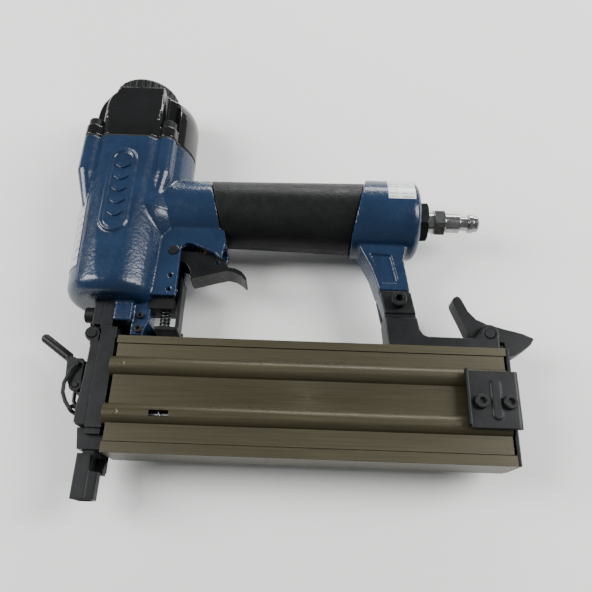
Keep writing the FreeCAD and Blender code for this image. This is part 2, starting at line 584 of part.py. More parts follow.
# ---------------------------------------------------------------- nose, door and latch
def nose_base():
    bar_block = box(NOSE_SPLIT_X, NOSE_REAR_X, NOSE_LOW_Y, NOSE_TOP_Y, -NOSE_HALF_Z, NOSE_HALF_Z)
    tongue = box(HINGE_PLATE_X, TONGUE_REAR_X, NOSE_TOP_Y - 1, BARREL_BOTTOM_Y, -TONGUE_HALF_Z, TONGUE_HALF_Z)
    neck = prism([(-6.2, NOSE_LOW_Y + 0.5), (-4.6, NOSE_NECK_Y), (7.6, NOSE_NECK_Y), (7.6, NOSE_LOW_Y + 0.5)],
                 -5.3, 5.3)
    shield = box(NOSE_SPLIT_X, NOSE_REAR_X - 0.6, NOSE_NECK_Y + 7, NOSE_LOW_Y + 0.5, -8.6, 8.6)
    tip = prism([(-2.0, SHOE_TRAVEL), (2.4, SHOE_TRAVEL), (4.0, NOSE_NECK_Y + 1), (-3.0, NOSE_NECK_Y + 1),
                 (-2.0, NOSE_NECK_Y - 1)], -3.6, 3.6)
    seat = box(NOSE_REAR_X - 0.5, MAG_X0, MAG_Y0 + 8, MAG_Y1 - 8, -NOSE_HALF_Z, -NAIL_GAP / 2)
    ear = [(NOSE_SPLIT_X + 1, 45.3), (-10.2, 45.3), (-11.6, 44.2), (-11.6, 43.6), (-8.1, 42.9), (-8.1, 38.9),
           (NOSE_SPLIT_X + 1, 38.9)]
    ears = both_sides(ear, 5.0, 6.8)
    body = fuse(bar_block, tongue, neck, shield, tip, seat, ears)
    channel = box(NOSE_SPLIT_X - 5, BLADE_T / 2 + 0.15, 0, 120, -BLADE_W / 2 - 0.15, BLADE_W / 2 + 0.15)
    channel = channel.common(fuse(box(-BLADE_T / 2 - 0.15, 5, 0, 120, -5, 5), box(-0.95, 5, 30, 90, -5, 5)))
    nail_window = box(0, 20, TRACK_Y0, TRACK_Y1, -NAIL_GAP / 2, NAIL_GAP / 2)
    screw_holes = [rod(-10, NOSE_SCREW_Y, z, "x", 2.6, 20) for z in (-NOSE_SCREW_Z, NOSE_SCREW_Z)]
    return cut(body, channel, nail_window, *screw_holes)


def hinge_plate():
    x0 = HINGE_PLATE_X - HINGE_PLATE_T
    plate = box(x0, HINGE_PLATE_X, NOSE_TOP_Y + 1.4, BARREL_BOTTOM_Y, -TONGUE_HALF_Z, TONGUE_HALF_Z)
    ear = fuse(rod(HINGE_X, HINGE_Y, -6.2, "z", KNUCKLE_R - 0.9, 12.4),
               box(HINGE_X - 1.5, HINGE_X + 2.2, HINGE_Y, NOSE_TOP_Y + 3, -6.2, 6.2))
    holes = [rod(-20, NOSE_SCREW_Y, z, "x", 2.6, 30) for z in (-NOSE_SCREW_Z, NOSE_SCREW_Z)]
    return cut(fuse(plate, ear), rod(HINGE_X, HINGE_Y, -20, "z", HINGE_PIN_R, 40), *holes)


def nose_door():
    outline = [(NOSE_SPLIT_X, NOSE_LOW_Y + 0.8), (NOSE_SPLIT_X, 78.6), (-5.6, 78.6), (-5.5, 72.0), (-6.3, 52.0),
               (-6.9, 46.0), (-6.9, 36.0), (-5.6, NOSE_LOW_Y + 0.8)]
    slab = prism(outline, -NOSE_HALF_Z, NOSE_HALF_Z)
    strap = [(HINGE_X - 1.2, HINGE_Y), (HINGE_X - 0.4, 76.0), (NOSE_SPLIT_X - 0.6, 76.0), (HINGE_X + 3.4, HINGE_Y)]
    knuckles = [fuse(rod(HINGE_X, HINGE_Y, z, "z", KNUCKLE_R, 3.6), prism(strap, z, z + 3.6))
                for z in (6.8, -NOSE_HALF_Z)]
    windows = both_sides([(-12, 36.4), (0, 36.4), (0, 47.4), (-12, 47.4)], 4.6, 7.2)
    body = fuse(slab, *knuckles)
    room = rod(HINGE_X, HINGE_Y, -6.6, "z", KNUCKLE_R + 0.2, 13.2)
    return cut(body, windows, room, rod(HINGE_X, HINGE_Y, -20, "z", HINGE_PIN_R + RUN, 40))


def hinge_pin():
    return rod(HINGE_X, HINGE_Y, -NOSE_HALF_Z - 0.6, "z", HINGE_PIN_R, 2 * NOSE_HALF_Z + 1.2)


def nose_screws():
    x = HINGE_PLATE_X - HINGE_PLATE_T
    return Part.makeCompound([socket_screw(x, NOSE_SCREW_Y, z, "x", 1, SCREW_HEAD_R, SCREW_HEAD_H, 2.5, 17.0)
                              for z in (-NOSE_SCREW_Z, NOSE_SCREW_Z)])


def neck_screws():
    return Part.makeCompound([socket_screw(x, y, 6.5, "z", -1, 1.7 + 0.5 * i, 2.2, 1.3, 4.4)
                              for i, (x, y) in enumerate(NECK_SCREWS)])


def latch_parts():
    ear = [(-5.9, 51.6), (-5.6, 68.6), (-8.4, 68.6), (-10.4, 59.5), (-13.4, 57.0), (-13.6, 54.0), (-11.4, 52.0)]
    ears = both_sides(ear, 3.0, 4.6)
    ears = fuse(ears, *[rod(LATCH_X, LATCH_Y, z, "z", 3.1, 1.6) for z in (3.0, -4.6)])
    face = prism([(-6.45, 51.8), (-5.2, 68.4), (-7.0, 68.4), (-7.8, 51.8)], -3.2, 3.2)
    bracket = cut(fuse(ears, face), nose_door(), rod(LATCH_X, LATCH_Y, -20, "z", LATCH_PIN_R, 40))
    add("latch_bracket", bracket)

    side = [(-8.0, 68.4), (-9.2, 69.6), (-12.4, 69.6), (-17.4, 68.6), (-16.6, 60.0), (-13.6, 53.9), (-7.7, 54.6),
            (-7.6, 66.0)]
    plates = both_sides(side, 5.0, 6.6)
    plates = fuse(plates, *[rod(LATCH_X, LATCH_Y, z, "z", 3.5, 1.6) for z in (5.0, -6.6)])
    web = prism([(-17.4, 68.6), (-16.6, 60.0), (-15.2, 60.0), (-15.6, 67.2)], -6.6, 6.6)
    tang = prism([(-17.2, 69.1), (-15.2, 71.1), (-31.3, 82.1), (-32.9, 80.1)], -1.7, 1.7)
    root = prism([(-17.4, 67.4), (-12.4, 68.0), (-12.4, 69.6), (-15.4, 71.0), (-18.4, 69.3)], -6.6, 6.6)
    lever = fuse(plates, web, root, tang)
    hole = rod(BAIL_TOP[0], BAIL_TOP[1], -20, "z", BAIL_WIRE_R + RUN, 40)
    add("latch_lever", cut(lever, hole, rod(LATCH_X, LATCH_Y, -20, "z", LATCH_PIN_R + RUN, 40)))
    add("latch_pin", rod(LATCH_X, LATCH_Y, -7.2, "z", LATCH_PIN_R, 14.4))

    start, stop = V(-18.6, 71.7, 0), V(-33.2, 81.8, 0)
    along = (stop - start).normalize()
    sleeve = Part.makeCylinder(LATCH_GRIP_R, (stop - start).Length, start, along)
    sleeve = fuse(sleeve, Part.makeSphere(LATCH_GRIP_R, stop))
    add("latch_grip", cut(sleeve, tang))

    (tx, ty), (lx, ly) = BAIL_TOP, BAIL_LOW
    bow = ((-3.0, -4.6), (-5.0, -11.0), (-4.8, -15.8), (-2.6, -20.4))
    arm = [(tx, ty)] + [(tx + dx, ty + dy) for dx, dy in bow] + [(lx, ly)]
    path = [(tx, ty, 5.2)] + [(x, y, BAIL_ARM_Z) for x, y in arm] + [(x, y, -BAIL_ARM_Z) for x, y in reversed(arm)]
    path += [(tx, ty, -5.2)]
    add("latch_bail", wire_form(path, BAIL_WIRE_R, 1.6))


# ---------------------------------------------------------------- shoe and safety linkage
def shoe_ring(inset, y0, y1):
    """Column with the shoe's six-sided outline, drawn in by inset."""
    z, z_flat = SHOE_HALF_Z - inset, 3.0 - inset / 2
    x0, x1, x_side = SHOE_X0 + inset, SHOE_X1 - inset, SHOE_X1 - 3.4 - inset / 2
    outline = [(x0, -z), (x0, z), (x_side, z), (x1, z_flat), (x1, -z_flat), (x_side, -z)]
    ring = [V(x, y0, w) for x, w in outline]
    return Part.Face(Part.makePolygon(ring + ring[:1])).extrude(V(0, y1 - y0, 0))


def shoe_parts():
    closed = cut(shoe_ring(0, 0, SHOE_CLOSED_H), shoe_ring(SHOE_T, -1, SHOE_CLOSED_H + 1))
    side = [(SHOE_X0, SHOE_CLOSED_H - 1), (SHOE_X1 - 3.4, SHOE_CLOSED_H - 1), (SHOE_X1 - 3.4, SHOE_H),
            (SHOE_X0, SHOE_H)]
    sides = both_sides(side, SHOE_HALF_Z - SHOE_T, SHOE_HALF_Z)
    wedge = prism([(3.0, 13.0), (6.0, 13.0), (8.6, 20.2), (3.0, 20.2)], -SHOE_HALF_Z, -SHOE_HALF_Z + SHOE_T)
    back = box(-0.5, 6.9, SHOE_CLOSED_H - 0.8, SHOE_H - 0.8, -LINK_Z0, -SHOE_HALF_Z + SHOE_T)
    add("safety_shoe", fuse(closed, sides, wedge, back))

    upright = box(-0.5, 6.9, SHOE_CLOSED_H + 0.6, LINK_TOP_Y, -LINK_Z1, -LINK_Z0)
    arm = prism([(6.0, 84.0), (38.0, 84.0), (38.0, 91.0), (34.0, LINK_TOP_Y), (6.0, LINK_TOP_Y)], -LINK_Z1, -LINK_Z0)
    add("safety_link", fuse(upright, arm))

    tab = box(21.6, 38.2, 84.4, 91.0, -LINK_Z0, -LINK_Z0 + 1.6)
    shelf = box(25.4, 38.2, 86.6, 88.6, -LINK_Z0, 7.4)
    strap = prism([(36.2, 86.6), (38.2, 86.6), (38.2, 117.0), (37.0, 118.4), (36.2, 118.4)], -5.2, 5.2)
    cup = rod(SPRING_X, 88.4, 0, "y", 4.2, 2.0)
    add("safety_arm", cut(fuse(tab, shelf, strap, cup), rod(SPRING_X, 89.0, 0, "y", 3.4, 4)))
    guide = box(21.6, 34.6, 98.8, 105.2, -7.4, 7.4)
    guide = cut(guide, rod(SPRING_X, 90, 0, "y", 3.4, 12.5), barrel_body(), neck_block())
    add("spring_guide", guide)
    add("safety_spring", coil((SPRING_X, 89.0, 0), "y", 2.4, 0.55, 13.4, 6.5))


# ---------------------------------------------------------------- magazine
def magazine_rail():
    outline = box(MAG_X0, MAG_X1, MAG_Y0, MAG_Y1, -MAG_HALF_Z, MAG_HALF_Z)
    opening = box(0, 400, TRACK_Y0, TRACK_Y1, -NAIL_GAP / 2, 30)
    tunnel = box(0, 400, MAG_Y0 + 11, MAG_Y1 - 11, -MAG_HALF_Z + 2, -NAIL_GAP / 2 - 2)
    grooves = [box(0, 400, y, y + 2.6, 4.0, 7.0) for y in (TRACK_Y0 - 1.6, TRACK_Y1 - 1)]
    return cut(outline, opening, tunnel, *grooves, rod(RAIL_SCREW_X, MAG_Y1 - 3, 0, "y", 2.0, 10))


def magazine_slide():
    x0, x1 = MAG_X0 + 0.6, MAG_X1 - 1.3
    plate = box(x0, x1, TRACK_Y0 + GAP, TRACK_Y1 - GAP, NAIL_GAP / 2, MAG_HALF_Z - GAP)
    tongues = [box(x0, x1, y, y + 2.3, 4.3, 6.7) for y in (TRACK_Y0 - 1.3, TRACK_Y1 - 1)]
    ribs = [rod(MAG_X0 - 1.4, y, RIB_Z, "x", RIB_R, x1 - MAG_X0 + 1.4) for y in RIBS]
    body = fuse(plate, *tongues, *ribs)
    bores = [rod(x0 + 4, y, RIB_Z, "x", RIB_BORE_R, x1 - x0 - 8) for y in RIBS]
    slots = [box(x0 + 3, x1 - 30, y - 2.2, y + 2.2, 0, RIB_Z) for y in RIBS]
    sight = box(30.6, 40.4, RIB_LOW_Y - 1.6, RIB_LOW_Y + 1.6, RIB_Z, 30)
    taps = [rod(x, MAG_MID_Y, 4, "z", 2.0, 20) for x in COVER_SCREW_X]
    nails = box(0, 400, TRACK_Y0 + 6, TRACK_Y1 - 6, 0, NAIL_GAP / 2 + 0.01)
    return cut(body, *bores, *slots, sight, *taps, nails)


def pusher_parts():
    x0 = MAG_X0 + 6
    blade = box(MAG_X0 + 1.0, MAG_X0 + 1.0 + PUSHER_LEN, TRACK_Y0 + 1.0, TRACK_Y1 - 1.0, -0.8, 0.8)
    webs = [box(x0, x0 + PUSHER_LEN - 5, y - 1.8, y + 1.8, 0, RIB_Z) for y in RIBS]
    sleeves = [tube(x0, y, RIB_Z, "x", RIB_BORE_R - 0.3, ROD_R + 0.35, PUSHER_LEN - 5) for y in RIBS]
    body = fuse(blade, *webs, *sleeves)
    add("pusher", cut(body, *[rod(0, y, RIB_Z, "x", ROD_R + 0.35, 60) for y in RIBS]))
    length = MAG_LEN - 10
    add("spring_rods", Part.makeCompound([rod(MAG_X0 + 4.6, y, RIB_Z, "x", ROD_R, length) for y in RIBS]))
    x_spring = x0 + PUSHER_LEN - 5 + 0.1
    span = MAG_X0 + 4.6 + length - x_spring
    add("pusher_springs", Part.makeCompound([coil((x_spring, y, RIB_Z), "x", 2.75, 0.4, span, 30) for y in RIBS]))


def end_parts():
    x0, x1 = END_PLATE_X, END_X
    z0, z1 = COVER_FRONT_Z - COVER_T, COVER_FRONT_Z
    plate = box(x0, x1, MAG_Y0 + 0.2, MAG_Y1, -MAG_HALF_Z + 1, MAG_HALF_Z - 0.6)
    tongue = box(x0, x1, MAG_Y1 - 1, MAG_Y1 + 4.3, -4.6, 4.6)
    y_low, y_high = MAG_MID_Y - 5.6, MAG_MID_Y + 5.6
    foot = box(COVER_SCREW_X[1] - 4.6, x1, y_low, y_high, MAG_HALF_Z - GAP, z0)
    riser = box(x0, x1, y_low, y_high, 0, z0)
    holes = [rod(x, MAG_MID_Y, 0, "z", 2.1, 30) for x in COVER_SCREW_X]
    add("magazine_end_plate", cut(fuse(plate, tongue, foot, riser), *holes))

    x2 = x1 + COVER_T
    x_front = x2 - COVER_LEN
    shell = box(x_front, x2, COVER_Y0, COVER_Y1, 7.0, z1)
    shell = round_edges(shell, 2.4, lambda e: abs(e.CenterOfMass.x - x2) < 0.01 and e.CenterOfMass.z > z1 - 0.01)
    front = shell.common(box(x_front, x2, COVER_Y0, COVER_Y1, z0, z1))
    right = shell.common(box(x1, x2, COVER_Y0 + 1.5, COVER_Y1 - 1.5, 0, z1))
    flange = COVER_T * 0.8
    low = box(x_front + 1.2, x1, COVER_Y0, COVER_Y0 + flange, MAG_HALF_Z, z0 + 0.5)
    high = box(x_front + 1.2, x1, COVER_Y1 - flange, COVER_Y1, MAG_HALF_Z, z0 + 0.5)
    lip = box(x_front - 1.2, x_front, COVER_Y0 + 1.2, COVER_Y1 + 0.6, z0, z1 + 2.2)
    bead = stadium(sum(COVER_SCREW_X) / 2 + 0.7, COVER_Y0 + 4.4, COVER_Y1 - 4.4, 2.3, z1 - 0.2, z1 + 0.6)
    ribs = [rod(0, y, RIB_Z, "x", RIB_R + 0.1, 400) for y in RIBS]
    add("end_cover", cut(fuse(front, low, high, right, lip, bead), *ribs, *holes))
    add("cover_screws", Part.makeCompound([socket_screw(x, MAG_MID_Y, z1, "z", -1, 3.6, 2.6, 2.0, z1 - 6)
                                           for x in COVER_SCREW_X]))


# ---------------------------------------------------------------- rear bracket and catch
def rear_bracket():
    fork_z = LEG_HALF_Z - FORK_T
    top_y = MAG_Y1 + BRACKET_H
    end_x = MAG_X1 - 1.2
    fork = [(LEG_X - 9.6, 113.6), (LEG_X + 6.2, 113.6), (LEG_X + 7.4, 112.4), (LEG_X + 10.0, 98.0), (LEG_X - 6.8, 98.0)]
    block = [(LEG_X - 7.2, 100.0), (LEG_X + 9.7, 100.0), (LEG_X + 11.2, 91.4), (LEG_X + 13.0, 88.6),
             (LEG_X + 15.6, top_y + GAP), (end_x, top_y + GAP), (end_x, MAG_Y1 + 0.2), (LEG_X - 5.5, MAG_Y1 + 0.2)]
    forks = both_sides(fork, fork_z, LEG_HALF_Z)
    body = prism(block, -LEG_HALF_Z, LEG_HALF_Z)
    ear_z = CATCH_HALF_Z + 0.4
    ear = [(CATCH_X - CATCH_EAR_R - 3.4, top_y - 0.2), (CATCH_X - CATCH_EAR_R + 0.8, CATCH_Y + 2.1),
           (CATCH_X, CATCH_Y + 1), (CATCH_X + CATCH_EAR_R - 1, CATCH_Y + 1.5), (end_x, top_y - 0.2)]
    ears = both_sides(ear, ear_z, LEG_HALF_Z)
    hubs = [rod(CATCH_X, CATCH_Y, z, "z", CATCH_EAR_R, LEG_HALF_Z - ear_z) for z in (ear_z, -LEG_HALF_Z)]
    body = fuse(body, forks, ears, *hubs)
    slot = box(CATCH_X - 21.9, CATCH_X + 25, 70, 120, -ear_z, ear_z)
    beside = [(LEG_X - 16, 97.9), (LEG_X + 18, 97.9), (LEG_X + 18, 100.4), (LEG_X - 16, 100.4)]
    seam = both_sides(beside, LEG_HALF_Z - 1.2, 20)
    leg_room = box(LEG_X - 16, LEG_X + 18, 100.4, 120, -fork_z, fork_z)
    holes = [rod(LEG_X, LEG_SCREW_Y, -20, "z", 2.6, 40), rod(CATCH_X, CATCH_Y, -20, "z", CATCH_PIN_R, 40),
             rod(RAIL_SCREW_X, 70, 0, "y", 2.0, 40), rod(RAIL_SCREW_X, RAIL_SCREW_Y, 0, "y", 4.0, 60)]
    return cut(body, slot, seam, leg_room, *holes)


def bracket_parts():
    add("rear_bracket", rear_bracket())
    screw = socket_screw(LEG_X, LEG_SCREW_Y, LEG_HALF_Z, "z", -1, SCREW_HEAD_R, SCREW_HEAD_H, 2.5, 2 * LEG_HALF_Z + 4.4)
    add("leg_screw", screw)
    nut = hexagon(LEG_X, LEG_SCREW_Y, -LEG_HALF_Z - 4.0, "z", 8.0, 4.0)
    add("leg_nut", nut.cut(rod(LEG_X, LEG_SCREW_Y, -20, "z", 2.5, 20)))
    add("rail_screw", socket_screw(RAIL_SCREW_X, RAIL_SCREW_Y, 0, "y", -1, 3.5, 2.4, 2.0, 6.0))


def catch_parts():
    top = [(-16.5, 22.1), (-14.5, 23.1), (-12.7, 21.7), (-9.3, 14.1), (-5.3, 9.5), (0.1, 6.9), (9.1, 4.5),
           (19.1, 2.1), (25.1, -0.6)]
    low = [(22.7, -4.3), (18.0, -7.9), (14.1, -10.3), (9.7, -11.1), (8.4, -10.1), (8.4, -3.5), (6.9, -3.5),
           (3.5, -4.7), (-0.9, -5.7), (-6.9, -4.1), (-10.3, 0.9), (-13.3, 9.1), (-16.7, 17.5), (-17.4, 19.9),
           (-17.2, 21.2)]
    lever = prism([(CATCH_X + dx, CATCH_Y + dy) for dx, dy in top + low], -CATCH_HALF_Z, CATCH_HALF_Z)
    pocket = rod(CATCH_X, CATCH_Y, -2.6, "z", 4.6, 5.2)
    notch = box(END_PLATE_X - 0.4, END_X + 0.4, 70, CATCH_Y - 3.5, -20, 20)
    lever = cut(lever, pocket, rod(CATCH_X, CATCH_Y, -20, "z", CATCH_PIN_R + RUN, 40), notch)
    add("magazine_catch", lever)
    add("catch_pin", rod(CATCH_X, CATCH_Y, -LEG_HALF_Z - 0.5, "z", CATCH_PIN_R, 2 * LEG_HALF_Z + 1.0))
    add("catch_spring", coil((CATCH_X, CATCH_Y, -2.3), "z", 3.6, 0.45, 4.6, 2.6))


# ---------------------------------------------------------------- trigger and its valve
def trigger_parts():
    add("trigger_pin", rod(TRIG_X, TRIG_Y, -CHEEK_HALF_Z - 0.4, "z", TRIG_PIN_R, 2 * CHEEK_HALF_Z + 0.8))
    side = [(TRIG_X - 3.0, TRIG_Y - 3.6), (TRIG_X - 1.0, TRIG_Y + 4.0), (37.0, 134.6), (46.0, 134.0), (54.6, 132.4),
            (59.6, 130.4), (62.0, 126.0), (62.8, 123.4), (42.0, 118.4), (41.0, 123.0), (38.6, 126.6), (35.0, 128.2)]
    plates = both_sides(side, TRIG_HALF_Z - TRIG_T, TRIG_HALF_Z)
    hubs = [rod(TRIG_X, TRIG_Y, z, "z", 4.6, TRIG_T) for z in (TRIG_HALF_Z - TRIG_T, -TRIG_HALF_Z)]
    finger = [(42.2, 117.5), (51.2, 120.2), (61.6, 123.2), (66.4, 122.3), (69.8, 120.2), (72.4, 117.8), (73.2, 118.4),
              (72.0, 120.8), (69.6, 123.2), (66.4, 124.8), (62.4, 125.3), (51.0, 122.4), (41.0, 119.4)]
    pad = prism(finger, -TRIG_HALF_Z, TRIG_HALF_Z)
    press = prism([(39.8, 131.3), (52.4, 130.2), (52.4, 128.8), (39.8, 129.9)], -TRIG_HALF_Z + 0.5, TRIG_HALF_Z - 0.5)
    body = fuse(plates, *hubs, pad, press)
    holes = [rod(TRIG_X, TRIG_Y, -20, "z", TRIG_PIN_R + RUN, 40), rod(56.3, 127.3, -20, "z", 1.2, 40)]
    add("trigger", cut(body, *holes))

    y0, y1 = 138.4, 156.0
    body = turned([(0, y0), (VALVE_R - 1, y0), (VALVE_R, y0 + 1), (VALVE_R, y1), (0, y1)], "y", (VALVE_X, 0, 0))
    body = cut(body, rod(VALVE_X, y0 - 1, 0, "y", 2.0 + RUN, 12), rod(VALVE_X, y0 + 6, 0, "y", 3.6, 9.4))
    seal_y = (y0 + 4, y1 - 3)
    add("valve_body", cut(body, *[groove(y, VALVE_R, VALVE_SEAL_R, VALVE_X) for y in seal_y]))
    add("valve_seals", Part.makeCompound([o_ring(y, VALVE_R, VALVE_SEAL_R, VALVE_X) for y in seal_y]))
    stem = fuse(rod(VALVE_X, 131.6, 0, "y", 2.0, y0 + 6.4 - 131.6), rod(VALVE_X, y0 + 6.3, 0, "y", 3.3, 1.8))
    add("valve_stem", stem)
    add("valve_spring", coil((VALVE_X, y0 + 8.3, 0), "y", 2.6, 0.4, 6.8, 3.25))


# ---------------------------------------------------------------- air inlet
def inlet_parts():
    x0 = HANDLE_END_X
    hexed = hexagon(x0 + 0.8, HANDLE_Y, 0, "x", 22.0, 5.4)
    chamfer = turned([(0, x0 + 0.8), (11.4, x0 + 0.8), (12.7, x0 + 1.8), (12.7, x0 + 5.2), (11.4, x0 + 6.2),
                      (0, x0 + 6.2)], "x", (0, HANDLE_Y, 0))
    stub = rod(x0 - 15, HANDLE_Y, 0, "x", INLET_R, 16)
    add("inlet_bushing", cut(fuse(hexed.common(chamfer), stub), rod(x0 - 20, HANDLE_Y, 0, "x", INLET_BORE_R, 40)))
    add("inlet_seal", tube(x0, HANDLE_Y, 0, "x", INLET_R + 2, INLET_R, 0.8))

    p = x0 + 6.2
    profile = [(0, p - 10), (INLET_BORE_R, p - 10), (INLET_BORE_R, p + 4.4), (7.0, p + 4.4), (7.0, p + 10.4),
               (PLUG_R, p + 11.4), (PLUG_R, p + 19.4), (4.2, p + 20.2), (4.2, p + 24.6), (5.5, p + 25.2),
               (5.5, p + 27.4), (4.8, p + 28.0), (4.8, p + 30.0), (4.2, p + 30.8), (0, p + 30.8)]
    body = turned(profile, "x", (0, HANDLE_Y, 0))
    nut = hexagon(p + 4.4, HANDLE_Y, 0, "x", 14.0, 6.0)
    add("air_plug", cut(fuse(body, nut), rod(p - 20, HANDLE_Y, 0, "x", 3.4, 80)))


# ---------------------------------------------------------------- assembly and export
def build_all():
    add("housing", housing())
    add("grip", grip())
    add("cylinder_sleeve", cylinder_sleeve())
    add("cylinder_seals", cylinder_seals())
    add("bumper", bumper())
    piston_parts()
    head_valve_parts()
    add("cap_gasket", cap_gasket())
    add("cylinder_cap", cylinder_cap())
    add("cap_screws", cap_screws())
    exhaust_parts()
    add("nose_base", nose_base())
    add("hinge_plate", hinge_plate())
    add("nose_door", nose_door())
    add("hinge_pin", hinge_pin())
    add("nose_screws", nose_screws())
    add("neck_screws", neck_screws())
    latch_parts()
    shoe_parts()
    add("magazine_rail", magazine_rail())
    add("magazine_slide", magazine_slide())
    pusher_parts()
    end_parts()
    bracket_parts()
    catch_parts()
    trigger_parts()
    inlet_parts()


def export_all():
    """Write each piece, with the origin under the middle of the tool's box."""
    box_all = Part.makeCompound(list(PARTS.values())).optimalBoundingBox(True, False)
    shift = V(-(box_all.XMin + box_all.XMax) / 2, -(box_all.YMin + box_all.YMax) / 2, -box_all.ZMin)
    print("tool frame origin in the part frame (mm):", [round(v, 4) for v in shift])
    print("size (mm):", [round(v, 2) for v in (box_all.XLength, box_all.YLength, box_all.ZLength)])
    os.makedirs("parts", exist_ok=True)
    for name, shape in PARTS.items():
        moved = shape.copy()
        moved.translate(shift)
        moved.exportStep("parts/" + name + ".step")


build_all()
export_all()
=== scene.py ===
"""Looks of the pneumatic brad nailer: softened castings, details, materials, light and camera.

Lengths below are in millimetres in the tool's own frame, whose origin is the nail outlet, and are
turned into metres in the CAD frame by place().
"""
import bpy
import bmesh
import json
import math
from mathutils import Matrix, Vector

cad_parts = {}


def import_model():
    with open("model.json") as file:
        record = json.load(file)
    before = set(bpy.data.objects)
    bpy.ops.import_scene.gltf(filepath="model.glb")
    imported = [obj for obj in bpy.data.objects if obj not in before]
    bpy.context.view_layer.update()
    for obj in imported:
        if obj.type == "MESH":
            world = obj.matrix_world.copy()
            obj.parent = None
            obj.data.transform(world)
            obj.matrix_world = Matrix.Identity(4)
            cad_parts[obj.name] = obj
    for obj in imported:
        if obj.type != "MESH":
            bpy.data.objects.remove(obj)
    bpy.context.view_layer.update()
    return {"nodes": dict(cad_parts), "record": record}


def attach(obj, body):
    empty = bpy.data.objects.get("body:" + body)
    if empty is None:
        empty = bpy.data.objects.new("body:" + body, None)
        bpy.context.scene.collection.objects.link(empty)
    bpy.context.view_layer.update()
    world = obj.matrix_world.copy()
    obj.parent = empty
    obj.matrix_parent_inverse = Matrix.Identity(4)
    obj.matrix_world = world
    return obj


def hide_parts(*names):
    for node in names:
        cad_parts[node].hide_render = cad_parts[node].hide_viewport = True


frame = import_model()

MM = 0.001
NODES = frame["nodes"]
BODIES = frame["record"]["behaviour"]["bodies"]
BODY_OF = {node: body for body, nodes in BODIES.items() for node in nodes}
OUTLET = Vector(next(m for m in frame["record"]["mounts"] if m["name"] == "nail_outlet")["pos_m"])
LINK = bpy.context.scene.collection.objects.link

# sizes shared with the CAD model, in mm
BARREL_FLAT_Z = 25.3
BARREL_R_LOW = 25.6
BARREL_LOW_Y = 109.5
BARREL_WIDENING = 2.5 / 67.0      # radius gained per mm of height
BULGE_X = 12.0
HANDLE_Y = 163.2
HANDLE_END_R = 23.4
RIB_Z = 10.0
RIB_R = 5.3

# details added here, in mm
LABEL_LIFT = 0.2
STICKER_LIFT = 0.12
BADGE_FLOOR_Z = 25.72
CHEVRONS = 5
CHEVRON_PITCH = 7.9
CHEVRON_TURN = math.radians(32)
STAKE_X = 14.4


def place(x, y, z=0.0):
    return OUTLET + Vector((x, y, z)) * MM


def srgb(r, g, b):
    """8-bit display colour as a linear one."""
    def lin(c):
        c /= 255.0
        return c / 12.92 if c <= 0.04045 else ((c + 0.055) / 1.055) ** 2.4
    return (lin(r), lin(g), lin(b), 1.0)


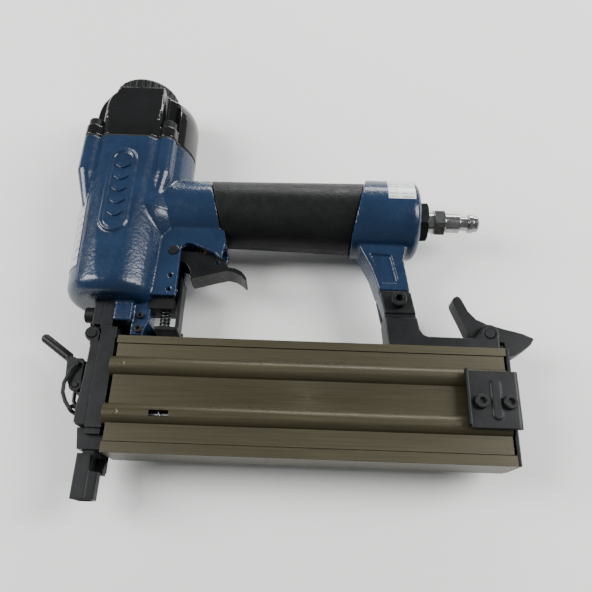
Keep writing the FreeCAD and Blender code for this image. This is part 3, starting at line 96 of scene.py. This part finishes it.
# ---------------------------------------------------------------- materials
class Shader:
    """A node material with a Principled surface, built up step by step."""

    def __init__(self, name):
        self.mat = bpy.data.materials.new(name)
        self.mat.use_nodes = True
        self.tree = self.mat.node_tree
        self.surface = self.tree.nodes["Principled BSDF"]
        self.coords = self.tree.nodes.new("ShaderNodeTexCoord")
        self.height = None

    def node(self, kind, **values):
        node = self.tree.nodes.new(kind)
        for key, value in values.items():
            setattr(node, key, value)
        return node

    def join(self, out, into):
        self.tree.links.new(out, into)

    def noise(self, scale, stretch=(1, 1, 1), detail=2.0, rough=0.5):
        """Noise of `scale` features per metre, stretched per axis."""
        mapping = self.node("ShaderNodeMapping")
        mapping.inputs["Scale"].default_value = stretch
        self.join(self.coords.outputs["Object"], mapping.inputs["Vector"])
        noise = self.node("ShaderNodeTexNoise")
        noise.inputs["Scale"].default_value = scale
        noise.inputs["Detail"].default_value = detail
        noise.inputs["Roughness"].default_value = rough
        self.join(mapping.outputs["Vector"], noise.inputs["Vector"])
        return noise.outputs["Fac"]

    def cells(self, scale):
        cells = self.node("ShaderNodeTexVoronoi", feature="F1")
        cells.inputs["Scale"].default_value = scale
        self.join(self.coords.outputs["Object"], cells.inputs["Vector"])
        return cells.outputs["Distance"]

    def spread(self, value, low, high, start=0.3, stop=0.7):
        """Value mapped from start..stop to low..high."""
        node = self.node("ShaderNodeMapRange")
        for key, number in (("From Min", start), ("From Max", stop),
                            ("To Min", low), ("To Max", high)):
            node.inputs[key].default_value = number
        self.join(value, node.inputs["Value"])
        return node.outputs["Result"]

    def mix(self, factor, a, b):
        node = self.node("ShaderNodeMix", data_type="RGBA")
        self.join(factor, node.inputs["Factor"])
        for socket, value in ((node.inputs[6], a), (node.inputs[7], b)):
            if isinstance(value, tuple):
                socket.default_value = value
            else:
                self.join(value, socket)
        return node.outputs[2]

    def bump(self, value, depth, strength=1.0):
        """Adds relief of `depth` millimetres on top of what is there."""
        node = self.node("ShaderNodeBump")
        node.inputs["Strength"].default_value = strength
        node.inputs["Distance"].default_value = depth * MM
        self.join(value, node.inputs["Height"])
        if self.height is not None:
            self.join(self.height, node.inputs["Normal"])
        self.height = node.outputs["Normal"]

    def round_edges(self, radius):
        node = self.node("ShaderNodeBevel", samples=4)
        node.inputs["Radius"].default_value = radius * MM
        self.height = node.outputs["Normal"]
        return node.outputs["Normal"]

    def painted_edge_highlight(self, rounded, color, edge_highlight_color, amount):
        """Painted edge highlight: lighter colour where the rounded normal leaves the face's own,
        broken up by noise.
        """
        geometry = self.node("ShaderNodeNewGeometry")
        dot = self.node("ShaderNodeVectorMath", operation="DOT_PRODUCT")
        self.join(rounded, dot.inputs[0])
        self.join(geometry.outputs["Normal"], dot.inputs[1])
        # painted highlight mask, strongest along the rounded edges
        edge = self.spread(dot.outputs["Value"], amount, 0.0, 0.80, 0.995)
        patchy_highlight = self.node("ShaderNodeMath", operation="MULTIPLY")
        self.join(edge, patchy_highlight.inputs[0])
        self.join(self.spread(self.noise(420), 0.0, 1.0, 0.42, 0.62), patchy_highlight.inputs[1])
        return self.mix(patchy_highlight.outputs[0], color, edge_highlight_color)

    def finish(self, color, roughness, metallic=0.0, coat=0.0, coat_rough=0.05, specular=0.5,
               anisotropic=0.0):
        inputs = self.surface.inputs
        for key, value in (("Base Color", color), ("Roughness", roughness)):
            if isinstance(value, (tuple, float)):
                inputs[key].default_value = value
            else:
                self.join(value, inputs[key])
        for key, value in (("Metallic", metallic), ("Coat Weight", coat),
                           ("Coat Roughness", coat_rough), ("Specular IOR Level", specular),
                           ("Anisotropic", anisotropic)):
            inputs[key].default_value = value
        if self.height is not None:
            self.join(self.height, inputs["Normal"])
            self.join(self.height, inputs["Coat Normal"])
        return self.mat


def hammered_paint():
    s = Shader("hammered_blue_paint")
    s.bump(s.noise(620, detail=1.0, rough=0.4), 0.3, 0.35)
    s.bump(s.noise(190, detail=1.0), 0.5, 0.12)
    tone = s.spread(s.noise(60, detail=3.0), 0.0, 1.0)
    color = s.mix(tone, srgb(18, 35, 58), srgb(24, 43, 69))
    return s.finish(color, s.spread(s.noise(300), 0.2, 0.3), coat=0.12, coat_rough=0.08,
                    specular=0.38)


def gloss_black():
    s = Shader("gloss_black_paint")
    s.bump(s.noise(240, detail=1.0), 0.06, 0.25)
    color = s.mix(s.spread(s.noise(80, detail=4.0), 0.0, 1.0), srgb(12, 12, 13), srgb(19, 19, 20))
    return s.finish(color, s.spread(s.noise(500), 0.1, 0.16), coat=0.2, specular=0.4)


def satin_black_metal():
    s = Shader("black_trigger_paint")
    rounded = s.round_edges(0.4)
    s.bump(s.noise(900, detail=2.0), 0.06, 0.4)
    tone = s.mix(s.spread(s.noise(90), 0.0, 1.0), srgb(15, 16, 17), srgb(22, 23, 24))
    # painted edge highlight: grey painted along the rounded edges of the black paint
    color = s.painted_edge_highlight(rounded, tone, srgb(84, 86, 88), 0.5)
    return s.finish(color, s.spread(s.noise(700), 0.22, 0.32), coat=0.05, coat_rough=0.2,
                    specular=0.25)


def phosphated_steel():
    s = Shader("dark_phosphated_steel")
    rounded = s.round_edges(0.35)
    s.bump(s.noise(1700, detail=3.0), 0.05, 0.55)
    s.bump(s.noise(420, (1, 3, 1), detail=2.0), 0.05, 0.3)
    tone = s.mix(s.spread(s.noise(130, detail=4.0), 0.0, 1.0), srgb(19, 20, 21), srgb(30, 31, 32))
    # painted edge highlight: light grey painted along the rounded edges of the dark steel
    color = s.painted_edge_highlight(rounded, tone, srgb(120, 121, 122), 0.55)
    return s.finish(color, s.spread(s.noise(900), 0.32, 0.46), metallic=0.15, specular=0.22)


def anodised():
    s = Shader("brushed_bronze_anodised")
    s.round_edges(0.25)
    lines = s.noise(70, (0.35, 26, 26), detail=5.0, rough=0.65)
    fine = s.noise(160, (0.5, 30, 30), detail=3.0, rough=0.7)
    s.bump(lines, 0.05, 0.5)
    s.bump(fine, 0.03, 0.4)
    tone = s.mix(s.spread(lines, 0.0, 1.0), srgb(52, 47, 31), srgb(69, 64, 44))
    cloud = s.mix(s.spread(s.noise(22, (0.5, 2, 2)), 0.0, 0.35), tone, srgb(48, 44, 31))
    return s.finish(cloud, s.spread(fine, 0.34, 0.5), metallic=0.4, anisotropic=0.3)


def grained_rubber():
    s = Shader("leather_grain_grip_rubber")
    s.round_edges(0.6)
    s.bump(s.cells(900), 0.12, 0.5)
    s.bump(s.noise(1500, detail=2.0), 0.05, 0.4)
    tone = s.spread(s.noise(45, detail=4.0), 0.0, 1.0)
    color = s.mix(tone, srgb(16, 17, 17), srgb(24, 25, 25))
    return s.finish(color, s.spread(s.noise(250), 0.36, 0.48), specular=0.18)


def black_rubber():
    s = Shader("matte_black_rubber")
    s.bump(s.noise(1100, detail=2.0), 0.05, 0.4)
    color = s.mix(s.spread(s.noise(150), 0.0, 1.0), srgb(22, 22, 22), srgb(34, 34, 34))
    return s.finish(color, 0.75)


def bare_metal(name, dark, light, low, high, stretch=(1, 1, 1)):
    s = Shader(name)
    s.round_edges(0.15)
    s.bump(s.noise(1300, stretch, detail=3.0), 0.03, 0.4)
    color = s.mix(s.spread(s.noise(200, stretch, detail=3.0), 0.0, 1.0), dark, light)
    return s.finish(color, s.spread(s.noise(600, stretch), low, high), metallic=1.0)


def black_plastic():
    s = Shader("satin_black_plastic")
    s.round_edges(0.3)
    s.bump(s.noise(1900, detail=2.0), 0.04, 0.5)
    color = s.mix(s.spread(s.noise(110, detail=3.0), 0.0, 1.0), srgb(14, 15, 16), srgb(22, 23, 24))
    return s.finish(color, s.spread(s.noise(700), 0.35, 0.5), specular=0.25)


def label_film(name, base, ink, axis_scale):
    """Pale printed film: plain bars stand in for any print."""
    s = Shader(name)
    wave = s.node("ShaderNodeTexWave", wave_type="BANDS", bands_direction="Y")
    wave.inputs["Scale"].default_value = axis_scale
    wave.inputs["Distortion"].default_value = 0.0
    s.join(s.coords.outputs["Object"], wave.inputs["Vector"])
    bars = s.spread(wave.outputs["Fac"], 0.0, 0.75, 0.78, 0.82)
    broken = s.node("ShaderNodeMath", operation="MULTIPLY")
    s.join(bars, broken.inputs[0])
    s.join(s.spread(s.noise(330, (1, 0.2, 1), detail=1.0), 0.0, 1.0, 0.46, 0.5), broken.inputs[1])
    shaded = tuple(c * 0.93 for c in base[:3]) + (1.0,)
    paper = s.mix(s.spread(s.noise(120), 0.0, 1.0), base, shaded)
    s.bump(s.noise(260), 0.04, 0.3)
    return s.finish(s.mix(broken.outputs[0], paper, ink), 0.35, coat=0.3)


BLUE = hammered_paint()
GLOSS = gloss_black()
SATIN = satin_black_metal()
STEEL = phosphated_steel()
BRONZE = anodised()
GRIP = grained_rubber()
RUBBER = black_rubber()
PLASTIC = black_plastic()
CHROME = bare_metal("nickel_chrome_plate", srgb(138, 138, 138), srgb(168, 168, 167), 0.14, 0.26)
BRASS = bare_metal("turned_brass", srgb(168, 128, 62), srgb(200, 160, 92), 0.2, 0.34)
WIRE = bare_metal("oiled_spring_wire", srgb(70, 71, 73), srgb(112, 113, 116), 0.28, 0.42)
BARE = bare_metal("machined_steel", srgb(150, 150, 152), srgb(186, 186, 188), 0.22, 0.36)
ALLOY = bare_metal("machined_alloy", srgb(168, 168, 170), srgb(198, 198, 200), 0.3, 0.45)
ZINC = bare_metal("zinc_plate", srgb(170, 166, 150), srgb(200, 196, 180), 0.28, 0.4)
LABEL = label_film("silver_label_film", srgb(168, 172, 172), srgb(96, 98, 102), 62)
STICKER = label_film("white_sticker_film", srgb(205, 208, 208), srgb(96, 98, 102), 120)

BY_SLOT = {"blue_paint": BLUE, "black_paint": SATIN, "black_steel": STEEL, "bare_steel": BARE,
           "spring_steel": WIRE, "grip_rubber": GRIP, "black_rubber": RUBBER,
           "bronze_anodised": BRONZE, "alloy": ALLOY, "zinc": ZINC, "chrome": CHROME,
           "brass": BRASS, "black_plastic": PLASTIC}
SLOT_OF = {s["node"]: s["material_slot"] for s in frame["record"]["subparts"]}


def paint(obj, mat):
    obj.data.materials.clear()
    obj.data.materials.append(mat)


def material_of(node):
    return GLOSS if node == "cylinder_cap" else BY_SLOT[SLOT_OF[node]]


for node, obj in NODES.items():
    paint(obj, material_of(node))


# ---------------------------------------------------------------- shapes
def merged_copy(node):
    """The CAD mesh with its seams closed."""
    bm = bmesh.new()
    bm.from_mesh(NODES[node].data)
    bmesh.ops.remove_doubles(bm, verts=bm.verts, dist=2e-6)
    mesh = bpy.data.meshes.new(node + "_mesh")
    bm.to_mesh(mesh)
    bm.free()
    return mesh


def settle(obj):
    """Applies the modifiers."""
    graph = bpy.context.evaluated_depsgraph_get()
    mesh = bpy.data.meshes.new_from_object(obj.evaluated_get(graph))
    obj.modifiers.clear()
    obj.data = mesh


def bridge(bm, rows):
    """Faces that join each closed row of points to the next."""
    faces = []
    for low, high in zip(rows, rows[1:]):
        for i in range(len(low)):
            j = (i + 1) % len(low)
            faces.append(bm.faces.new((low[i], low[j], high[j], high[i])))
    return faces


def barrel_radius(y):
    """Outer radius of the tapered barrel at height y."""
    return BARREL_R_LOW + BARREL_WIDENING * (y - BARREL_LOW_Y)


def bulge_fairing(mesh):
    """Adds a cone, outside the cavity, that runs the casting's rear bulge out into the barrel.

    The CAD casting ends the bulge with a sharp step there, so the skin differs from it.
    """
    bm = bmesh.new()
    bm.from_mesh(mesh)
    levels, spokes, rings = 10, 48, []
    for i in range(levels + 1):
        y = 136.0 + 22.0 * i / levels
        cone = 13.3 + 10.0 * math.sin(math.pi / 2 * i / levels)
        outer, inner = [], []
        for j in range(spokes + 1):
            a = math.radians(-120 + 240 * j / spokes)
            r0 = barrel_radius(y) - 1.4
            across = math.sqrt(cone ** 2 - (BULGE_X * math.sin(a)) ** 2)
            r1 = max(BULGE_X * math.cos(a) + across, r0 + 0.4)
            for ring, r in ((outer, r1), (inner, r0)):
                z = max(-BARREL_FLAT_Z + 0.3, min(BARREL_FLAT_Z - 0.3, r * math.sin(a)))
                ring.append(bm.verts.new(place(r * math.cos(a), y, z)))
        rings.append(outer + inner[::-1])
    caps = [bm.faces.new(rings[0][::-1]), bm.faces.new(rings[-1])]
    bmesh.ops.recalc_face_normals(bm, faces=caps + bridge(bm, rings))
    bm.to_mesh(mesh)
    bm.free()


def softened(node, voxel, rounds):
    """Rebuilds a CAD piece as one skin with edges rounded as casting or tumbling leaves them."""
    obj = bpy.data.objects.new(node + "_skin", merged_copy(node))
    if node == "housing":
        bulge_fairing(obj.data)
    LINK(obj)
    remesh = obj.modifiers.new("remesh", "REMESH")
    remesh.mode = "VOXEL"
    remesh.voxel_size = voxel * MM
    remesh.use_smooth_shade = True
    smooth = obj.modifiers.new("smooth", "SMOOTH")
    smooth.factor = 0.5
    smooth.iterations = rounds
    settle(obj)
    paint(obj, material_of(node))
    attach(obj, BODY_OF[node])
    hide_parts(node)
    return obj


def shade_by_angle(mesh, degrees=32):
    for polygon in mesh.polygons:
        polygon.use_smooth = True
    mesh.set_sharp_from_angle(angle=math.radians(degrees))


# voxel size in mm and rounds of smoothing
SOFT = {"housing": (0.6, 5), "cylinder_cap": (0.5, 4), "trigger": (0.28, 4),
        "rear_bracket": (0.4, 3), "magazine_catch": (0.3, 4), "nose_door": (0.35, 3),
        "hinge_plate": (0.35, 2), "latch_lever": (0.25, 3), "latch_bracket": (0.25, 2),
        "safety_shoe": (0.3, 3), "end_cover": (0.25, 3), "exhaust_deflector": (0.3, 2),
        "safety_arm": (0.35, 2), "safety_link": (0.4, 2), "magazine_end_plate": (0.35, 2)}
for node, (voxel, rounds) in SOFT.items():
    softened(node, voxel, rounds)
for node, obj in NODES.items():
    if node not in SOFT:
        shade_by_angle(obj.data)


def new_piece(name, bm, mat, body):
    mesh = bpy.data.meshes.new(name)
    bm.to_mesh(mesh)
    bm.free()
    obj = bpy.data.objects.new(name, mesh)
    LINK(obj)
    shade_by_angle(mesh)
    paint(obj, mat)
    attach(obj, body)
    return obj


def wrapped_patch(name, point, columns, rows, mat, body):
    """Thin film over a curved face; point(u, v) gives its surface for u, v in 0..1."""
    bm = bmesh.new()
    grid = [[bm.verts.new(point(i / columns, j / rows)) for j in range(rows + 1)]
            for i in range(columns + 1)]
    for i in range(columns):
        for j in range(rows):
            bm.faces.new((grid[i][j], grid[i + 1][j], grid[i + 1][j + 1], grid[i][j + 1]))
    bmesh.ops.recalc_face_normals(bm, faces=bm.faces)
    return new_piece(name, bm, mat, body)


def front_label(u, v):
    y = 117.0 + 44.0 * v
    r = barrel_radius(y) + LABEL_LIFT
    angle = math.radians(131 + 60 * u)
    return place(r * math.cos(angle), y, r * math.sin(angle))


wrapped_patch("barrel_label", front_label, 24, 8, LABEL, "tool")


def end_sticker(u, v):
    angle = math.radians(2 + 72 * u)
    r = HANDLE_END_R + STICKER_LIFT
    return place(151.0 + 15.5 * v, HANDLE_Y + r * math.sin(angle), r * math.cos(angle))


wrapped_patch("handle_sticker", end_sticker, 16, 6, STICKER, "tool")


def rounded_bar(bm, centre, half, radius, height, turn=0.0, steps=5):
    """Raised bar with round ends, lying in the X-Y plane and domed along its top."""
    (cx, cy, z0), (hx, hy) = centre, half
    ring = []
    for quarter, (sx, sy) in enumerate(((1, 1), (-1, 1), (-1, -1), (1, -1))):
        for i in range(steps + 1):
            a = math.radians(90 * quarter + 90 * i / steps)
            ring.append((sx * (hx - radius) + radius * math.cos(a),
                         sy * (hy - radius) + radius * math.sin(a)))
    levels = ((1.0, -0.4), (1.0, height * 0.5), (0.82, height * 0.9), (0.5, height))
    rows = []
    for scale, z in levels:
        row = []
        for x, y in ring:
            inset = radius * (1 - scale)
            length = math.hypot(x, y) or 1.0
            x, y = x * (1 - inset / length), y * (1 - inset / length)
            rx = x * math.cos(turn) - y * math.sin(turn)
            ry = x * math.sin(turn) + y * math.cos(turn)
            row.append(bm.verts.new(place(cx + rx, cy + ry, z0 + z)))
        rows.append(row)
    bridge(bm, rows)
    bm.faces.new(rows[-1])


def badge_relief():
    """Plain chevrons cast inside the barrel's oval badge."""
    bm = bmesh.new()
    for i in range(CHEVRONS):
        y = 146.6 + CHEVRON_PITCH * i
        for side in (-1, 1):
            rounded_bar(bm, (side * 1.75, y, BADGE_FLOOR_Z), (2.6, 1.1), 1.05, 0.74,
                        turn=side * CHEVRON_TURN)
    return new_piece("badge_relief", bm, BLUE, "tool")


badge_relief()


def stake_mark(name, x, y):
    """Punched dimple ring where a rib is staked to the spring rod."""
    bm = bmesh.new()
    steps, rows = 20, []
    for r, dz in ((1.5, 0.0), (1.25, 0.12), (0.95, 0.02), (0.5, -0.1)):
        row = []
        for i in range(steps):
            a = 2 * math.pi * i / steps
            dy = r * math.sin(a)
            surface = RIB_Z + math.sqrt(RIB_R ** 2 - dy ** 2)
            row.append(bm.verts.new(place(x + r * math.cos(a), y + dy, surface + dz + 0.03)))
        rows.append(row)
    bridge(bm, rows)
    bm.faces.new(rows[-1])
    return new_piece(name, bm, BRONZE, "magazine")


stake_mark("stake_upper", STAKE_X, 64.8)
stake_mark("stake_lower", STAKE_X, 40.4)


# ---------------------------------------------------------------- floor, light, camera
def floor():
    bm = bmesh.new()
    bmesh.ops.create_grid(bm, x_segments=2, y_segments=2, size=3.0)
    mesh = bpy.data.meshes.new("floor")
    bm.to_mesh(mesh)
    bm.free()
    obj = bpy.data.objects.new("floor", mesh)
    LINK(obj)
    s = Shader("pale_floor")
    color = s.mix(s.spread(s.noise(3), 0.0, 1.0), srgb(236, 237, 234), srgb(240, 241, 238))
    paint(obj, s.finish(color, 0.55, specular=0.3))


def area_light(name, at, target, size, power):
    light = bpy.data.lights.new(name, "AREA")
    light.shape = "RECTANGLE"
    light.size, light.size_y = size
    light.energy = power
    obj = bpy.data.objects.new(name, light)
    LINK(obj)
    obj.location = at
    obj.rotation_euler = (Vector(target) - Vector(at)).to_track_quat("-Z", "Y").to_euler()


def world():
    w = bpy.data.worlds.new("studio")
    w.use_nodes = True
    background = w.node_tree.nodes["Background"]
    background.inputs["Color"].default_value = (0.92, 0.95, 0.95, 1.0)
    background.inputs["Strength"].default_value = 0.26
    bpy.context.scene.world = w


def camera():
    """Looking down at the tool on its side, from the nose's end."""
    right = Vector((0.9994, 0.0324, 0.0144))
    up = Vector((-0.0354, 0.9133, 0.4056))
    back = Vector((0.0, -0.4059, 0.9139))
    at = place(100.88, -22.67, 303.89)
    data = bpy.data.cameras.new("camera")
    data.lens = 36.0
    data.sensor_width = 36.0
    data.clip_start = 0.01
    obj = bpy.data.objects.new("camera", data)
    LINK(obj)
    obj.matrix_world = Matrix.Translation(at) @ Matrix((right, up, back)).transposed().to_4x4()
    bpy.context.scene.camera = obj


floor()
world()
area_light("key", (0.3, 1.35, 0.5), (0.0, 0.0, 0.0), (1.2, 0.3), 17)
area_light("left_box", (-1.0, 0.1, 0.85), (-0.05, 0.0, 0.02), (0.5, 0.9), 22)
area_light("right_box", (1.0, 0.2, 0.85), (0.05, 0.0, 0.02), (0.5, 0.9), 22)
camera()
